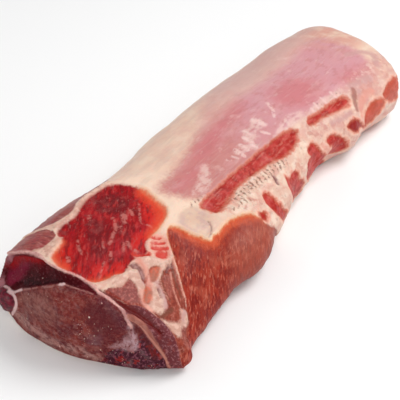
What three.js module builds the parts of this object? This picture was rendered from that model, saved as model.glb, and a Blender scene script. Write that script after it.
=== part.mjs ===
// A whole boneless pork loin, frozen hard, as it lies on its flat underside: one piece of meat, one closed solid.
// Millimetres, +Z up. +Y runs from the cut end to the far end and +X is the flank side. The origin is at the
// centre of the footprint, on the surface that the meat rests on.
import * as THREE from "three";
import { mergeVertices } from "three/addons/utils/BufferGeometryUtils.js";

const { clamp, smoothstep, radToDeg } = THREE.MathUtils;

// The loin's outline, station by station from the cut end: where its two sides are, how high and where its crown is,
// how high the widest point of each side lies, and how square the shoulders and the lower edges are (2 is an ellipse,
// 1 a straight slope).
const stations = [
  { along: 0, left: -81, right: 89, crown: 78, crownAt: -21, leftBelly: 44, rightBelly: 11, leftRound: 2.3, rightRound: 1.5, lowerRound: 2.4 },
  { along: 39, left: -82, right: 80, crown: 82, crownAt: -21, leftBelly: 44, rightBelly: 13, leftRound: 2.3, rightRound: 1.5, lowerRound: 2.6 },
  { along: 96, left: -80, right: 78, crown: 80, crownAt: -21, leftBelly: 42, rightBelly: 17, leftRound: 2.3, rightRound: 1.6, lowerRound: 2.9 },
  { along: 153, left: -77, right: 78, crown: 72, crownAt: -26, leftBelly: 36, rightBelly: 23, leftRound: 2.4, rightRound: 1.8, lowerRound: 3.2 },
  { along: 229, left: -84, right: 66, crown: 72, crownAt: -26, leftBelly: 36, rightBelly: 25, leftRound: 2.3, rightRound: 2.0, lowerRound: 3.2 },
  { along: 305, left: -86, right: 54, crown: 75, crownAt: -21, leftBelly: 34, rightBelly: 25, leftRound: 2.3, rightRound: 2.2, lowerRound: 3.2 },
  { along: 381, left: -86, right: 61, crown: 71, crownAt: -17, leftBelly: 32, rightBelly: 25, leftRound: 2.3, rightRound: 2.2, lowerRound: 3.2 },
  { along: 447, left: -82, right: 66, crown: 73, crownAt: -12, leftBelly: 30, rightBelly: 25, leftRound: 2.3, rightRound: 2.2, lowerRound: 3.2 },
  { along: 519, left: -71, right: 66, crown: 71, crownAt: -12, leftBelly: 28, rightBelly: 25, leftRound: 2.3, rightRound: 2.2, lowerRound: 3.2 },
];
const loinLength = stations.at(-1).along;
const undersideCut = 3; // how much of the section lies below the flat it rests on

// The cut end: its edge is eased, and it falls back towards both sides.
const cutEdge = { ease: 6, radius: 80 };
const cutFallBack = { right: 33, left: 4, centreAt: -17, rightReach: 100, leftReach: 57, fadesOver: 143 };
// Above the seam over the eye muscle, the cut leans back to the rim: the seam's height across the cut.
const topLean = { depth: 13, rise: 16, fadesOver: 70 };
const topSeam = [[-80, 36], [-60, 42], [-45, 49], [-12, 68], [4, 72], [30, 66], [45, 60], [90, 50]];

// The far end: a blunt round end, cut askew so that the flank side is shorter.
const farEnd = { length: 33, squareness: 3.3, skew: 34, skewFrom: -64, skewReach: 128, fadesOver: 176 };

// How the surface is divided: around, across the cut face, round its edge, along the sides, round the far end.
const around = 64;
const rows = { face: 14, edge: 3, sides: 67, end: 9 };

// Places on the sides are [distance along, angle round], in mm and degrees: 90 is the crown, 0 the flank side.
const axisAt = { across: -5, up: 25 };
const mmPerDegree = 1.1;

// Where a muscle is bare, the fat and silver skin over it end in a step: closed outlines, and how deep it lies.
const bareMuscles = [
  { name: "rump", depth: 2.8, slope: 7, outline: [[8, 136], [26, 127], [73, 128], [126, 132], [140, 118], [135, 88], [118, 68], [84, 51], [60, 60], [8, 66]] },
  { name: "flank", depth: 2.6, slope: 6, outline: [[110, 57], [118, 36], [132, 25], [170, 27], [195, 17], [208, 4], [206, -25], [60, -30], [36, -12], [52, 6], [78, 26], [94, 43]] },
];
// Open grooves where the edge of the eye muscle shows between fat, and bare spots between lumps of side fat.
const grooves = [
  { depth: 3.4, width: 8, line: [[150, 46], [200, 44], [270, 43], [304, 41]] },
  { depth: 2.8, width: 7, line: [[330, 43], [360, 40], [392, 37]] },
  { depth: 3.2, width: 6.5, line: [[214, 25], [221, 15], [228, 4]] },
];
const sideLumps = [
  { at: [186, 6], height: 4, reach: 22 },
  { at: [236, 12], height: 3, reach: 15 },
  { at: [262, 4], height: -2.5, reach: 12 },
  { at: [288, 14], height: 3, reach: 15 },
  { at: [312, 6], height: -2.5, reach: 12 },
  { at: [334, 8], height: 3.5, reach: 14 },
  { at: [352, -2], height: -2, reach: 10 },
  { at: [374, 2], height: 4.5, reach: 17 },
  { at: [398, 20], height: -2.5, reach: 12 },
  { at: [420, 4], height: 3, reach: 16 },
  { at: [450, 22], height: 2.5, reach: 16 },
  { at: [226, 34], height: 2.5, reach: 14 },
  { at: [262, 32], height: 2, reach: 14 },
  { at: [404, 48], height: 2, reach: 14 },
];
// The long hollows and swells that trimming leaves on the back side and low on the flank side.
const trimmedLumps = [
  { at: [52, 172], height: 2, reach: 30 },
  { at: [104, 202], height: -3, reach: 26 },
  { at: [168, 174], height: -2.5, reach: 30 },
  { at: [216, 198], height: 2.5, reach: 28 },
  { at: [262, 168], height: -1.5, reach: 26 },
  { at: [304, 200], height: -3.5, reach: 26 },
  { at: [350, 178], height: 2, reach: 30 },
  { at: [398, 202], height: -3, reach: 26 },
  { at: [446, 172], height: -2, reach: 28 },
  { at: [486, 200], height: 1.5, reach: 22 },
  { at: [130, -18], height: 2, reach: 24 },
  { at: [248, -16], height: -3, reach: 18 },
  { at: [294, -18], height: 2, reach: 18 },
  { at: [340, -22], height: -2.5, reach: 18 },
  { at: [412, -16], height: -3, reach: 20 },
  { at: [462, -6], height: -2, reach: 18 },
];
const fatRidge = { height: 1.8, width: 9, line: [[60, 134], [110, 139], [147, 128], [148, 100], [140, 76], [124, 60], [130, 44], [145, 33], [170, 34], [205, 28]] };

// The muscles that the cut shows, as [across, up] on it: what swells, and the seams between, sunk or proud.
const cutSwells = [
  { name: "eye", at: [-8, 32], reach: [54, 38], height: 5 },
  { name: "side lobe", at: [-65, 32], reach: [16, 15], height: 5 },
  { name: "lower muscle", at: [52, 15], reach: [20, 13], height: 3 },
  { name: "rump", at: [-48, 60], reach: [22, 14], height: 3.5 },
];
const cutSeams = [
  { depth: 2.4, width: 5, line: [[-78, 36], [-60, 42], [-45, 49], [-12, 67], [4, 72]] },
  { depth: 2.6, width: 4, line: [[-60, 42], [-50, 40], [-47, 33], [-51, 23], [-64, 14]] },
  { depth: -2.2, width: 4, line: [[14, 72], [31, 63], [41, 50], [45, 40], [52, 31], [62, 20], [68, 8]] },
  { depth: 4.5, width: 5, line: [[38, 61], [49, 50], [58, 39], [66, 26], [73, 12], [75, 0]] },
  { depth: 1.8, width: 5, line: [[45, 38], [38, 26], [28, 16], [20, 6]] },
];

// The far end is a cut too: the eye muscle swells inside the seam round it.
const farEye = { at: [-16, 34], reach: [50, 27], height: 4, seamDepth: 2, seamWidth: 0.14 };

const sizes = Object.keys(stations[0]).filter((key) => key !== "along");
const alongs = stations.map((station) => station.along);
const values = stations.flatMap((station) => sizes.map((key) => station[key]));
const between = new THREE.CubicInterpolant(alongs, values, sizes.length);

// The loin's sizes at any distance along it.
function stationAt(along) {
  const found = between.evaluate(clamp(along, 0, loinLength));
  return Object.fromEntries(sizes.map((key, i) => [key, found[i]]));
}

const power = (value, exponent) => Math.sign(value) * Math.abs(value) ** exponent;

// A point of the section's outline: four quarter curves that meet at the crown, the bellies and the underside.
function outlinePoint(s, angle) {
  const [across, up] = [Math.cos(angle), Math.sin(angle)];
  const [edge, belly, round] = across >= 0
    ? [s.right - s.crownAt, s.rightBelly, s.rightRound]
    : [s.crownAt - s.left, s.leftBelly, s.leftRound];
  const n = up >= 0 ? round : s.lowerRound;
  const tall = up >= 0 ? s.crown - belly : belly + undersideCut;
  const x = s.crownAt + edge * power(across, 2 / n);
  const z = Math.max(0, belly + tall * power(up, 2 / n));
  return new THREE.Vector2(x, z);
}

// The whole outline at one distance along, as points at even steps round it, starting at the crown.
function outline(s) {
  const fine = Array.from({ length: 361 }, (_, i) => outlinePoint(s, Math.PI / 2 + (i / 360) * 2 * Math.PI));
  return new THREE.Path(fine).getSpacedPoints(around);
}

// Each row of the surface: how far along it lies and how far it is drawn in towards the middle of the section.
function rowList() {
  const eased = cutEdge.ease / cutEdge.radius;
  const list = [{ along: 0, scale: 0 }];
  for (let i = 1; i <= rows.face; i++) list.push({ along: 0, scale: (i / rows.face) * (1 - eased) });
  for (let i = 1; i <= rows.edge; i++) {
    const turn = (i / rows.edge) * (Math.PI / 2);
    list.push({ along: cutEdge.ease * (1 - Math.cos(turn)), scale: 1 - eased * (1 - Math.sin(turn)) });
  }
  const sideEnd = loinLength - farEnd.length;
  for (let i = 1; i <= rows.sides; i++) {
    list.push({ along: cutEdge.ease + (i / rows.sides) * (sideEnd - cutEdge.ease), scale: 1 });
  }
  for (let i = 1; i <= rows.end; i++) {
    const reach = Math.sin((i / rows.end) * (Math.PI / 2));
    const scale = Math.max(0, 1 - reach ** farEnd.squareness) ** (1 / farEnd.squareness);
    list.push({ along: sideEnd + farEnd.length * reach, scale });
  }
  return list;
}

// The height of the seam over the eye muscle, at one place across the cut.
function seamHeight(across) {
  const i = clamp(topSeam.findIndex(([x]) => x > across), 1, topSeam.length - 1);
  const [[x0, z0], [x1, z1]] = [topSeam[i - 1], topSeam[i]];
  return z0 + (z1 - z0) * clamp((across - x0) / (x1 - x0), 0, 1);
}

// The cut end falls back at its sides and above the seam, and the far end is askew.
function lean(point) {
  const { right, left, centreAt, rightReach, leftReach, fadesOver } = cutFallBack;
  const nearShare = clamp(1 - point.y / fadesOver, 0, 1) ** 1.5;
  const off = point.x - centreAt;
  const back = off > 0 ? right * (off / rightReach) ** 2 : left * (off / leftReach) ** 2;
  const above = smoothstep(point.z - seamHeight(point.x), 0, topLean.rise);
  const topBack = topLean.depth * above * clamp(1 - point.y / topLean.fadesOver, 0, 1);
  const farShare = clamp((point.y - (loinLength - farEnd.fadesOver)) / farEnd.fadesOver, 0, 1) ** 1.3;
  const askew = farEnd.skew * clamp((point.x - farEnd.skewFrom) / farEnd.skewReach, 0, 1.2);
  point.y += back * nearShare + topBack - askew * farShare;
}

// Distance from a point to a line of points, and for a closed one whether the point is inside it.
function distanceTo(line, x, y) {
  let least = Infinity;
  let inside = false;
  for (let i = 1; i < line.length; i++) {
    const [a, b] = [line[i - 1], line[i]];
    const [dx, dy] = [b.x - a.x, b.y - a.y];
    const t = clamp(((x - a.x) * dx + (y - a.y) * dy) / (dx * dx + dy * dy), 0, 1);
    least = Math.min(least, Math.hypot(x - a.x - t * dx, y - a.y - t * dy));
    if (a.y > y !== b.y > y && x < a.x + ((y - a.y) / dy) * dx) inside = !inside;
  }
  return { least, inside };
}

const smoothLine = (points, closed = false) =>
  new THREE.CatmullRomCurve3(points.map(([x, y]) => new THREE.Vector3(x, y, 0)), closed).getPoints(points.length * 6);
const onSide = ([along, degrees]) => [along, degrees * mmPerDegree];
for (const muscle of bareMuscles) muscle.path = smoothLine(muscle.outline.map(onSide), true);
for (const groove of [...grooves, fatRidge]) groove.path = smoothLine(groove.line.map(onSide));
for (const seam of cutSeams) seam.path = smoothLine(seam.line);

const hump = (distance, width) => Math.exp(-((distance / width) ** 2));

// How far the side surface stands proud of the plain outline at a place.
function sideRelief(along, degrees) {
  const round = degrees * mmPerDegree;
  let height = fatRidge.height * hump(distanceTo(fatRidge.path, along, round).least, fatRidge.width);
  for (const { path, depth, slope } of bareMuscles) {
    const { least, inside } = distanceTo(path, along, round);
    height -= depth * smoothstep(inside ? least : -least, -slope, slope);
  }
  for (const { path, depth, width } of grooves) height -= depth * hump(distanceTo(path, along, round).least, width);
  for (const { at, height: tall, reach } of [...sideLumps, ...trimmedLumps]) {
    height += tall * hump(Math.hypot(along - at[0], round - at[1] * mmPerDegree), reach);
  }
  return height;
}

// How far the cut face stands proud at a place on it.
function cutRelief(across, up) {
  let height = 0;
  for (const { at, reach, height: tall } of cutSwells) {
    const off = Math.hypot((across - at[0]) / reach[0], (up - at[1]) / reach[1]);
    height += tall * Math.max(0, 1 - off * off);
  }
  for (const { path, depth, width } of cutSeams) height -= depth * hump(distanceTo(path, across, up).least, width);
  return height;
}

// How far the far end stands proud at a place on it.
function farRelief(across, up) {
  const { at, reach, height, seamDepth, seamWidth } = farEye;
  const off = Math.hypot((across - at[0]) / reach[0], (up - at[1]) / reach[1]);
  return height * Math.max(0, 1 - off * off) - seamDepth * hump(off - 1, seamWidth);
}

// The plain loin, from a sphere whose rows and columns are laid on the outlines.
function plainLoin() {
  const list = rowList();
  const geometry = new THREE.SphereGeometry(1, around, list.length - 1);
  const place = geometry.getAttribute("position");
  const point = new THREE.Vector3();
  list.forEach(({ along, scale }, row) => {
    const s = stationAt(along);
    const points = outline(s);
    const middle = { x: s.crownAt, z: s.crown * 0.42 };
    for (let i = 0; i <= around; i++) {
      const p = points[i % around];
      point.set(middle.x + (p.x - middle.x) * scale, along, middle.z + (p.y - middle.z) * scale);
      lean(point);
      place.setXYZ(row * (around + 1) + i, point.x, point.y, point.z);
    }
  });
  geometry.deleteAttribute("normal");
  geometry.deleteAttribute("uv");
  return mergeVertices(geometry, 1e-3);
}

// The loin with its relief, along each point's own normal; what lies on the flat stays on it.
function loinGeometry() {
  const geometry = plainLoin();
  geometry.computeVertexNormals();
  const place = geometry.getAttribute("position");
  const normals = geometry.getAttribute("normal");
  const [point, normal] = [new THREE.Vector3(), new THREE.Vector3()];
  for (let i = 0; i < place.count; i++) {
    point.fromBufferAttribute(place, i);
    normal.fromBufferAttribute(normals, i);
    const onCut = smoothstep(-normal.y, 0.55, 0.85);
    const onFarEnd = smoothstep(normal.y, 0.5, 0.85);
    const offFloor = smoothstep(point.z, 0, 8);
    const turned = radToDeg(Math.atan2(point.z - axisAt.up, point.x - axisAt.across));
    const degrees = turned < -90 ? turned + 360 : turned;
    const side = sideRelief(point.y, degrees) * offFloor * (1 - onCut - onFarEnd);
    const ends = cutRelief(point.x, point.z) * onCut + farRelief(point.x, point.z) * onFarEnd;
    point.addScaledVector(normal, side + ends);
    place.setXYZ(i, point.x, point.y, Math.max(0, point.z));
  }
  return geometry;
}

const meat = new THREE.MeshStandardMaterial({ color: 0xb5605a, roughness: 0.5, metalness: 0 });
const loin = new THREE.Mesh(loinGeometry(), meat);
loin.name = "pork_loin";

loin.geometry.computeBoundingBox();
const box = loin.geometry.boundingBox;
const centre = box.getCenter(new THREE.Vector3());
loin.position.set(-centre.x, -centre.y, -box.min.z);

const part = new THREE.Group();
part.add(loin);
export default part;
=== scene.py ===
import math
import random
import bmesh
import bpy
import numpy as np
from mathutils import Matrix, Vector, noise


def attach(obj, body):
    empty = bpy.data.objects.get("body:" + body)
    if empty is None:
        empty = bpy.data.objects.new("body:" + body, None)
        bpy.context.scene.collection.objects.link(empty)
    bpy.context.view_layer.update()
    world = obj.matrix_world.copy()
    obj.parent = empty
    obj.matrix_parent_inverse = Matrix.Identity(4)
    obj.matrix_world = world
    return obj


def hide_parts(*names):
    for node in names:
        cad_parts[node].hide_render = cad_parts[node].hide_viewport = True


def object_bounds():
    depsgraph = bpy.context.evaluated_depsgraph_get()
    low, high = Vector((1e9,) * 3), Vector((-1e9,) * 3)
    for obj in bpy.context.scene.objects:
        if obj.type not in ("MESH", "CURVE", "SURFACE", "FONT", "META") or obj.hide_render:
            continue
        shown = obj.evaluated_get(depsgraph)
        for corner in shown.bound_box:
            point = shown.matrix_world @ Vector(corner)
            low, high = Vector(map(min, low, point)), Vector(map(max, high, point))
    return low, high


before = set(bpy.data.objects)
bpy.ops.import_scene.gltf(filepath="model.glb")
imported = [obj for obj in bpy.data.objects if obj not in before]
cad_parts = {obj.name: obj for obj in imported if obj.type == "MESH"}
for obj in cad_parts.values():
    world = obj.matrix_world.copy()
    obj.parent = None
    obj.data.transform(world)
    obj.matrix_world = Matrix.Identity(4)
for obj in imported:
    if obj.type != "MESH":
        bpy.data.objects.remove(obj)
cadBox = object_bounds()
scene = bpy.context.scene
scene.view_settings.view_transform = "Standard"  # the meat's own reds, with no film curve

# Places on the loin's sides are along and round it: millimetres from the cut end, and degrees from 0 at the
# flank side through 90 at the crown. Those on the cut end are millimetres right and up, facing the camera.
mm = 0.001
place = {"cutEnd": -255.1, "axisAcross": -3.7, "axisUp": 25.0, "perDegree": 1.1}
# The cut is what faces the camera near the front, and the far end is what faces away along the loin. The ease
# is how many millimetres of depth a face's turn counts for.
ends = {"cutTurn": -0.08, "cutEase": 16.0, "cutReach": 56.0, "farTurn": 0.62, "farEase": 22.0, "lap": 0.4}
view = {
    "turn": 32.0, "rise": 35.0, "distance": 1077.0, "aim": (-5.9, -54.6, 30.8),
    "focal": 1204.0, "frame": 400.0, "sensor": 36.0,
}
turn, tilt = math.radians(view["turn"]), math.radians(view["rise"])
towards = np.array([math.sin(turn) * math.cos(tilt), -math.cos(turn) * math.cos(tilt), math.sin(tilt)])
rightward = np.array([math.cos(turn), math.sin(turn), 0.0])
upward = np.array([-math.sin(turn) * math.sin(tilt), math.cos(turn) * math.sin(tilt), math.cos(tilt)])

# The outlines of the tissues that show on the sides. Each is a list of places, two numbers to a place: a list
# alone is closed, and one with a width in millimetres before it is a line.
sidePatches = {
    "rump": [
        [129,133, 136,124, 138,113, 135,102, 132,91, 128,79, 122,72, 111,68, 102,66, 88,65, 81,64, 75,57,
         67,56, 62,59, 53,60, 46,57, 38,58, 30,62, 23,66, 17,71, 13,81, 11,93, 13,105, 18,115, 22,118, 29,117,
         38,119, 44,126, 57,128, 69,127, 86,132, 103,135, 117,136]],
    "rumpDark": [
        [104,131, 118,130, 122,120, 113,108, 98,101, 90,111, 90,123],
        [67,114, 80,112, 75,102, 59,89, 42,81, 41,92, 50,103], (4, [88,104, 82,96, 72,91]),
        (5, [87,88, 78,83, 68,79])],
    "rumpBright": [
        [133,115, 137,108, 130,88, 124,73, 105,68, 102,73, 105,86, 119,101],
        [74,75, 83,77, 92,75, 97,67, 89,63, 80,64, 72,64, 68,70],
        [25,117, 39,116, 35,108, 25,101, 22,87, 14,92, 14,107],
        [34,81, 42,71, 54,66, 42,59, 26,66, 17,71, 21,78]],
    "rumpGlow": [
        (14, [136,110, 132,94, 126,82, 120,74, 111,69, 103,67, 95,65]), (6, [15,100, 18,111, 26,118, 36,119]),
        (2.5, [17,74, 26,66, 38,60])],
    "fleck": [
        (2.4, [86,105, 80,98, 76,94, 68,91, 58,87]), [95,103, 98,101, 95,96, 89,93, 86,93, 90,99],
        (1.7, [118,102, 106,91, 99,85, 98,80, 101,75, 100,70]), (1.7, [45,109, 39,104, 34,97]),
        (2.8, [25,105, 22,101]), (2.2, [68,78, 60,73]), (1.6, [40,78, 25,69]), (2, [78,121, 73,118]),
        (1.6, [82,93, 78,90, 77,86]), (2.4, [105,101, 101,95]), (1.7, [56,92, 51,88]), (2.2, [52,81, 47,76]),
        (2.8, [71,77, 68,71, 69,63])],
    "rosy": [
        [142,92, 152,104, 204,113, 255,130, 306,145, 360,152, 400,154, 440,148, 466,114, 464,74, 456,46,
         444,34, 424,33, 400,40, 372,44, 340,47, 318,50, 285,50, 250,47, 215,46, 186,46, 166,56, 150,72]],
    "deepRosy": [
        [349,103, 375,95, 386,66, 372,54, 340,58, 322,76, 330,94],
        [404,54, 426,51, 444,43, 440,36, 420,37, 403,45],
        [204,106, 255,120, 296,124, 300,108, 254,96, 208,90], [150,88, 176,96, 204,96, 196,84, 168,80]],
    "paleSkin": [
        [278,55, 295,60, 308,63, 322,60, 334,54, 318,49, 303,47, 290,50],
        [285,90, 292,85, 284,71, 276,74, 266,69, 256,66, 251,71, 256,79, 264,84, 274,83],
        [201,90, 200,80, 184,65, 170,62, 159,70, 178,78], (2, [403,130, 409,122]),
        [340,48, 352,52, 368,50, 384,46, 396,44, 392,39, 374,42, 352,44], (8, [236,70, 246,68, 254,62])],
    "teeth": [
        (6, [284,87, 285,72]), (3.8, [264,84, 264,75]), (4.2, [256,79, 257,68]), (4.4, [246,75, 245,65]),
        (4.4, [237,75, 236,62]), (3.4, [253,66, 255,60]), (3.6, [274,69, 278,61]), (3.2, [228,72, 229,66]),
        (3, [220,73, 222,70]), (3.6, [316,90, 310,79, 302,71]), (3, [345,50, 346,44]), (3, [353,52, 353,45]),
        (3.4, [366,52, 367,44]), (3.4, [382,49, 383,41])],
    "marks": [
        (8, [184,38, 207,36, 225,35, 243,34, 262,32]), (5, [172,34, 182,33, 193,31]), (5, [148,62, 162,61]),
        (2.6, [357,49, 360,47]), (3, [374,46, 378,44]), (2.6, [387,44, 391,42])],
    "flank": [
        [110,60, 115,54, 117,47, 119,41, 122,36, 125,31, 129,28, 133,30, 138,29, 145,30, 156,30, 168,28,
         179,24, 186,19, 187,14, 191,10, 200,4, 210,-6, 214,-28, 206,-64, 150,-72, 70,-70, 18,-56, 12,-30,
         17,-10, 30,-2, 44,0, 57,2, 63,7, 69,12, 74,19, 80,27, 87,37, 93,47, 103,57]],
    "red": [
        [153,53, 156,46, 158,40, 167,39, 180,40, 190,42, 205,43, 218,42, 231,41, 248,39, 259,37, 272,34,
         287,34, 299,36, 307,42, 305,48, 294,51, 281,53, 262,54, 248,55, 236,55, 224,56, 207,57, 193,57,
         180,57, 163,57],
        [326,43, 325,39, 331,37, 347,36, 360,33, 374,30, 387,28, 393,31, 391,37, 382,39, 369,41, 356,42,
         345,43, 334,45],
        [209,25, 215,26, 219,22, 222,15, 226,8, 234,-3, 229,-6, 219,1, 211,9, 206,18],
        [249,24, 254,19, 262,21, 269,19, 273,16, 272,10, 280,4, 285,-3, 277,-9, 262,-7, 248,4, 244,13,
         245,18],
        [301,25, 313,26, 318,18, 323,9, 332,-1, 329,-10, 314,-13, 296,-6, 288,6, 292,16, 302,16, 299,21],
        [332,18, 340,20, 349,16, 357,9, 362,2, 364,-6, 355,-12, 342,-9, 334,3, 339,8, 333,13],
        [366,16, 375,18, 384,16, 392,10, 399,2, 404,-3, 394,2, 388,5, 380,5, 371,9],
        [401,11, 407,15, 415,18, 427,17, 438,11, 431,5, 418,1, 408,-3, 399,1],
        [436,17, 446,21, 460,22, 472,19, 476,12, 468,3, 454,3, 441,10],
        [188,20, 195,19, 197,14, 190,13, 187,16], (3.2, [90,63, 94,58]), (3.2, [85,60, 92,52]),
        (4.2, [81,56, 89,47]), [75,48, 78,51, 83,50, 86,45, 82,41, 77,43], (4.6, [65,64, 67,58, 72,54]),
        [238,-24, 252,-20, 262,-30, 258,-44, 244,-46, 236,-36], [286,-26, 300,-24, 304,-38, 296,-52, 284,-46],
        [334,-26, 350,-24, 352,-40, 342,-54, 332,-42], [382,-20, 402,-22, 404,-38, 392,-50, 380,-38],
        [430,-24, 448,-20, 452,-36, 440,-50, 428,-40]],
    "brown": [
        [16,58, 24,54, 30,50, 38,51, 44,50, 52,42, 60,45, 67,44, 71,40, 77,37, 85,38, 79,29, 73,20, 69,13,
         65,9, 62,3, 50,-2, 30,-4, 14,-4, 10,10, 10,30, 12,46]],
    "island": [
        [64,43, 67,43, 70,40, 65,37, 60,35, 55,35, 55,38, 60,43],
        [44,36, 48,35, 47,31, 41,27, 35,27, 34,30, 38,33], (6, [405,36, 399,29, 394,21])],
    "lilac": [
        (5, [56,33, 55,27, 51,20, 45,17]), (3.6, [60,7, 56,7, 53,6]), (3.6, [54,48, 50,43, 47,40]),
        (6, [410,32, 406,25, 401,18]), (5, [350,27, 366,23.5, 384,22.5]), (8, [406,40, 420,38, 434,35]),
        (7, [448,68, 464,58, 468,46, 458,38]), (6, [410,21, 418,26, 426,28])],
    "blush": [
        (4.4, [64,61, 60,54, 58,46, 53,39, 48,34]), [95,64, 98,55, 92,46, 84,41, 76,42, 75,50, 82,56, 88,62],
        (4, [40,36, 36,32, 33,28, 32,22]), (7, [324,16, 330,10, 336,6]),
        (8, [399,14, 402,20, 410,25, 424,26])],
    "purple": [
        [14,152, 28,150, 38,148, 43,140, 45,131, 41,125, 32,125, 23,127, 15,134],
        [41,156, 43,147, 48,138, 54,132, 61,130, 72,130, 80,132, 88,135, 100,137, 114,137.5, 128,139, 140,145,
         150,150, 158,158, 150,176, 120,188, 70,192, 40,176],
        [12,160, 34,158, 36,184, 12,190], [300,188, 330,182, 360,188, 366,200, 336,206, 304,202],
        [196,204, 224,200, 238,208, 226,216, 200,214]],
    "fat": [
        [64,62, 68,56, 74,48, 80,43, 85,40, 82,36, 75,35, 71,36, 70,40, 67,44, 62,46, 58,43, 53,38, 50,34,
         55,41, 58,48, 61,56],
        [47,58, 49,52, 50,46, 48,41, 45,37, 40,34, 34,31, 37,38, 40,43, 41,49, 43,55],
        [52,36, 56,34, 56,29, 52,21, 48,17, 42,17, 36,18, 32,22, 32,27, 38,27, 45,30, 48,33],
        (3.4, [71,39, 64,36, 56,33]),
        [34,15, 37,12, 42,9, 47,7, 52,7, 56,10, 61,7, 59,3, 54,1, 46,4, 39,3, 34,5],
        [26,60, 33,62, 39,58, 41,53, 37,50, 30,50, 24,54], (3.4, [96,52, 90,45, 85,39]),
        [19,131, 26,126, 37,124, 43,121, 36,119, 27,119, 19,117, 17,122], (2.6, [39,150, 44,141, 50,132]),
        (2.6, [48,129, 60,128, 72,128.6, 84,132, 98,135.6, 114,136.6, 130,137.6]),
        (1.8, [70,150, 84,144, 100,146, 118,150]), (7, [118,178, 150,172, 190,178])],
    "whiteLine": [
        (2.4, [85,38, 82,33, 77,25, 72,18, 69,12]), (1.5, [74,32, 69,27, 64,21, 60,15, 57,9]),
        (1.2, [62,34, 57,28, 54,20])],
    "darkLine": [
        (1.8, [81,35, 75,29, 70,22, 66,14]), (2.4, [69,36, 62,33, 57,27, 54,19]),
        (2.6, [36,16, 44,15, 50,14])],
    "window": [[129,62, 144,62, 153,53, 150,41, 139,35, 127,31, 121,40, 118,49, 119,58]],
    "pit": [
        [52,60, 56,58, 58,53, 56,47, 53,42, 48,40, 50,45, 53,51, 50,55], (2.2, [53,29, 50,24]),
        (3.4, [77,36, 72,34]), (2.4, [81,35, 79,33]), (4.6, [238,30, 235,25]),
        (1.3, [143,40, 137,34, 129,31])],
}
# on the cut end, right and up
cutPatches = {
    "cut": [
        [-70,40, -68,60, -60,76, -50,82, -41,83, -32,83, -23,80, -18,76, -10,72, 3,68, 12,64, 18,60, 24,55,
         32,50, 39,45, 43,40, 47,34, 55,28, 61,20, 67,12, 73,3, 78,-10, 60,-18, 20,-16, -20,-4, -50,10,
         -68,26]],
    "flap": [
        [20,60, 26,57, 32,54, 40,49, 47,45.5, 56,43, 64,38, 72,31, 79,22, 84,12, 87,0, 89,-12, 78,-12, 74,1,
         67,11, 60,20, 54,28, 49,32, 45,37, 41,43, 34,51, 26,55.5]],
    "upper": [
        [-70,53, -60,53, -52,51.5, -47,51, -35,55, -21,58.5, -5,60.5, 3,59, 12,57, 17,55, 22,53.5, 28,54,
         24,56, 18,60, 12,64, 3,68, -10,72, -18,77, -23,81, -32,84, -50,84, -60,78, -72,64]],
    # painted shadow in the middle of the upper muscle's hollow
    "hollowShade": [[-52,63, -44,68, -30,66, -10,66, 8,61, -8,60, -30,58, -46,56]],
    # painted highlight on the upper muscle's bulge, top left
    "upperRedHighlight": [[-57,72, -50,79, -35,81, -24,79, -22,75, -29,74, -41,75, -50,71]],
    "upperWine": [[-58,58, -56,69, -46,74, -36,73, -41,67, -48,59]],
    # painted highlight along the upper muscle's left rim
    "upperRimHighlight": [(4.6, [-62,56, -63,66, -60,75, -53,81])],
    "lobe": [[-68,52, -56,54, -50,51, -47.5,48, -46,44, -47,40, -51,34, -58,33, -68,42]],
    "seamBright": [
        (1.7, [-59,56, -53,54, -48,51.5, -40,53.5]), (2.3, [-52,52, -47,49, -45,45, -45,41, -47,37, -51,32]),
        (2.2, [-6,60, -3,60.5])],
    "seamFaint": [(1.1, [-40,53.5, -26,56.5, -13,58, -5,60.5, 2,59, 12,57, 20,54])],
    "bottomRim": [(8, [-47,36, -38,26, -28,20, -18,13, -9,10, 0,9, 10,6, 18,3, 26,0])],
    "purpleRim": [[22,54, 31,49, 38,43.5, 43,36, 46,27, 41,28, 37,35, 33,40, 25,48]],
    "lilacSpot": [[13,20, 25,21, 26,14, 16,11]],
    "lip": [
        (1.9, [-62,75, -55,81, -41,83.5, -32,83.5, -23,80.5, -18,76.5, -10,72.5, 3,68.5, 12,64.5, 24,56]),
        (2.7, [24,55.5, 32,50.5, 38,46, 42,42, 44.5,37, 46,33, 49,28])],
    "darkWedge": [(3.2, [51,28, 56,22, 62,13, 67,3])],
    "lower": [[53,14, 48,8, 42,11, 34,9, 27,4, 24,-14, 62,-16, 77,-10, 74,0, 68,9, 61,18, 56,23]],
    "knuckle": [[46,33, 49,30, 52,22, 54,16, 52,9, 48,8, 43,10, 36,11, 32,11, 36,14, 42,18, 46,22, 47,28]],
    "strip": [(5, [47,36, 52,34, 58,29, 64,19, 70,8, 76,-3])],
    "groove": [(4.6, [26,57, 38,49, 47,43, 55,38, 64,31, 71,23])],
    "greyPatch": [[-43,50, -26,54, -15,52, -12,43, -8,33, -19,27, -32,34, -42,42]],
    "redPatch": [[-13,56, 10,54, 14,46, 10,39, -3,35, -11,45]],
    "maroonPatch": [[17,48, 31,44, 40,34, 44,26, 36,20, 28,16, 19,23, 15,36]],
}
# on the far end, across and up
farPatches = {
    "farEye": [[-66,34, -50,54, -20,60, 12,54, 34,40, 38,24, 20,11, -20,8, -54,14]],
}


def rounded(points, closed):
    # A smooth line through the points, in a few steps each.
    points = np.array(points, float).reshape(-1, 2)
    count = len(points)
    line = []
    for i in range(count if closed else count - 1):
        places = ((i + k) % count if closed else min(max(i + k, 0), count - 1) for k in (-1, 0, 1, 2))
        before, start, end, after = (points[k] for k in places)
        for t in (0, 0.34, 0.67):
            line.append(0.5 * (2 * start + (end - before) * t
                               + (2 * before - 5 * start + 4 * end - after) * t * t
                               + (3 * start - before - 3 * end + after) * t ** 3))
    if not closed:
        line.append(points[-1])
    return np.array(line)


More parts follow.
